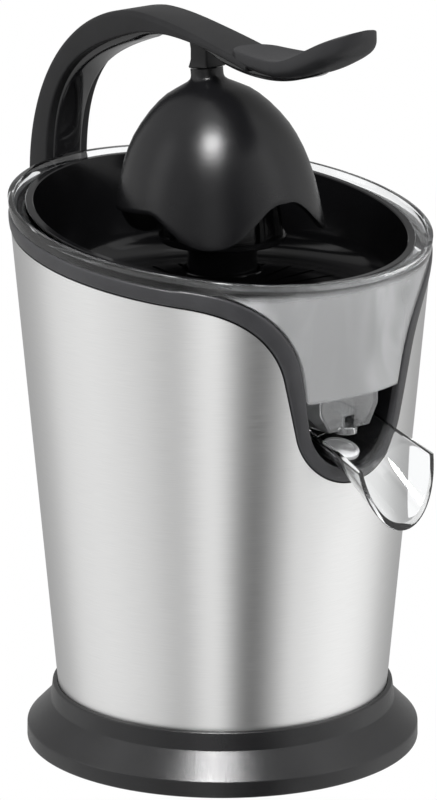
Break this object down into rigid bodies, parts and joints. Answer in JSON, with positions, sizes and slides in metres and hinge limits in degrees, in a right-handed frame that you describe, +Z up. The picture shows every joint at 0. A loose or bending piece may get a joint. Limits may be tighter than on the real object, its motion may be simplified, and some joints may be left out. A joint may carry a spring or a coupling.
{
  "type": "lever citrus press",
  "caption": "Electric citrus press with a brushed steel body, hinged arm with a fluted dome, ribbed reamer, strainer, clear juice collector and a flip-up drip-stop spout.",
  "frame": {"origin": "centre of the underside of the anti-slip ring, on the axis of the housing", "axes": "+Z up along the housing and the drive shaft, -Y towards the spout, +Y towards the handle's hinge, +X to the right when looking along +Y"},
  "size_m": [0.186, 0.2326, 0.3335],
  "materials": {
    "acetal": "natural acetal",
    "black_rubber": "matt elastomer",
    "brass": "turned brass or bronze",
    "bright_steel": "bright turned steel",
    "brushed_steel": "fine brushing around the shell",
    "clear_plastic": "clear polished copolyester",
    "copper_enamel": "enamelled copper wire",
    "die_cast": "as cast",
    "fan_plastic": "moulded polypropylene",
    "gloss_black": "polished moulding",
    "grey_nylon": "glass-filled nylon",
    "grey_rubber": "matt elastomer",
    "grey_silicone": "matt silicone",
    "laminated_steel": "stacked laminations",
    "matte_black": "matt moulded ABS",
    "satin_black": "satin moulded ABS",
    "satin_trim": "satin moulded ABS",
    "soft_grip": "soft-touch overmould",
    "switch_body": "phenolic"
  },
  "bodies": {
    "housing": {"foot_ring": "black_rubber", "base_plate": "matte_black", "base_ring": "satin_black", "base_screws": "bright_steel", "cord_gland": "black_rubber", "steel_shell": "brushed_steel", "trim_bezel": "satin_trim", "inner_tub": "matte_black", "hinge_bracket": "matte_black", "hinge_screws": "bright_steel", "hinge_pin": "bright_steel", "gearbox_housing": "grey_nylon", "gearbox_cover": "grey_nylon", "gearbox_screws": "bright_steel", "idler_pin": "bright_steel", "shaft_bush": "brass", "lip_seal": "grey_rubber", "motor_stator": "laminated_steel", "motor_windings": "copper_enamel", "motor_cap_lower": "die_cast", "motor_cap_upper": "die_cast", "motor_screws": "bright_steel", "microswitch": "switch_body", "return_spring": "bright_steel", "juice_collector": "clear_plastic", "strainer": "gloss_black"},
    "handle": {"handle_arm": "satin_black", "handle_liner": "gloss_black", "handle_dowels": "bright_steel", "grip_pad": "soft_grip", "stem_post": "satin_black", "dome_pin": "bright_steel"},
    "dome": {"press_dome": "satin_black", "tilt_bush": "grey_rubber"},
    "spout": {"spout_channel": "clear_plastic", "spout_stopper": "grey_silicone"},
    "press": {"thrust_pin": "bright_steel"},
    "reamer": {"reamer_cone": "satin_black", "drive_shaft": "bright_steel"},
    "output": {"output_gear": "acetal"},
    "idler": {"idler_gear": "acetal"},
    "rotor": {"motor_rotor": "laminated_steel", "motor_shaft": "bright_steel", "motor_pinion": "brass", "cooling_fan": "fan_plastic"},
    "lever": {"switch_lever": "brass"}
  },
  "joints": [
    {"name": "handle_lift", "type": "hinge", "parent": "housing", "child": "handle", "pos_m": [0, 0.107, 0.228], "axis": [-1, 0, 0], "range_deg": [0, 75]},
    {"name": "dome_tilt", "type": "hinge", "parent": "handle", "child": "dome", "pos_m": [0, 0.01, 0.309], "axis": [1, 0, 0], "range_deg": [-3, 3], "stiffness_Nm_per_rad": 0.6},
    {"name": "spout_flip", "type": "hinge", "parent": "housing", "child": "spout", "pos_m": [0, -0.057, 0.164], "axis": [-1, 0, 0], "range_deg": [0, 18]},
    {"name": "shaft_press", "type": "slide", "parent": "housing", "child": "press", "axis": [0, 0, -1], "range_m": [0, 0.003], "stiffness_N_per_m": 2500, "springref_m": -0.003, "deforming": ["return_spring"]},
    {"name": "rotor_spin", "type": "hinge", "parent": "housing", "child": "rotor", "pos_m": [-0.02598, 0.02438, 0.057], "axis": [0, 0, 1], "continuous": true},
    {"name": "reamer_spin", "type": "hinge", "parent": "press", "child": "reamer", "pos_m": [0, 0, 0.16], "axis": [0, 0, 1], "continuous": true},
    {"name": "output_spin", "type": "hinge", "parent": "housing", "child": "output", "pos_m": [0, 0, 0.124], "axis": [0, 0, 1], "continuous": true},
    {"name": "idler_spin", "type": "hinge", "parent": "housing", "child": "idler", "pos_m": [0, 0.03938, 0.118], "axis": [0, 0, 1], "continuous": true},
    {"name": "switch_tip", "type": "hinge", "parent": "housing", "child": "lever", "pos_m": [0.017, 0, 0.095], "axis": [0, -1, 0], "range_deg": [0, 10.3]}
  ],
  "couplings": [
    {"joint": "reamer_spin", "follows": "rotor_spin", "ratio": 0.071429},
    {"joint": "output_spin", "follows": "rotor_spin", "ratio": 0.071429},
    {"joint": "idler_spin", "follows": "rotor_spin", "ratio": -0.25},
    {"joint": "switch_tip", "follows": "shaft_press", "rad_per_m": 58.2}
  ]
}
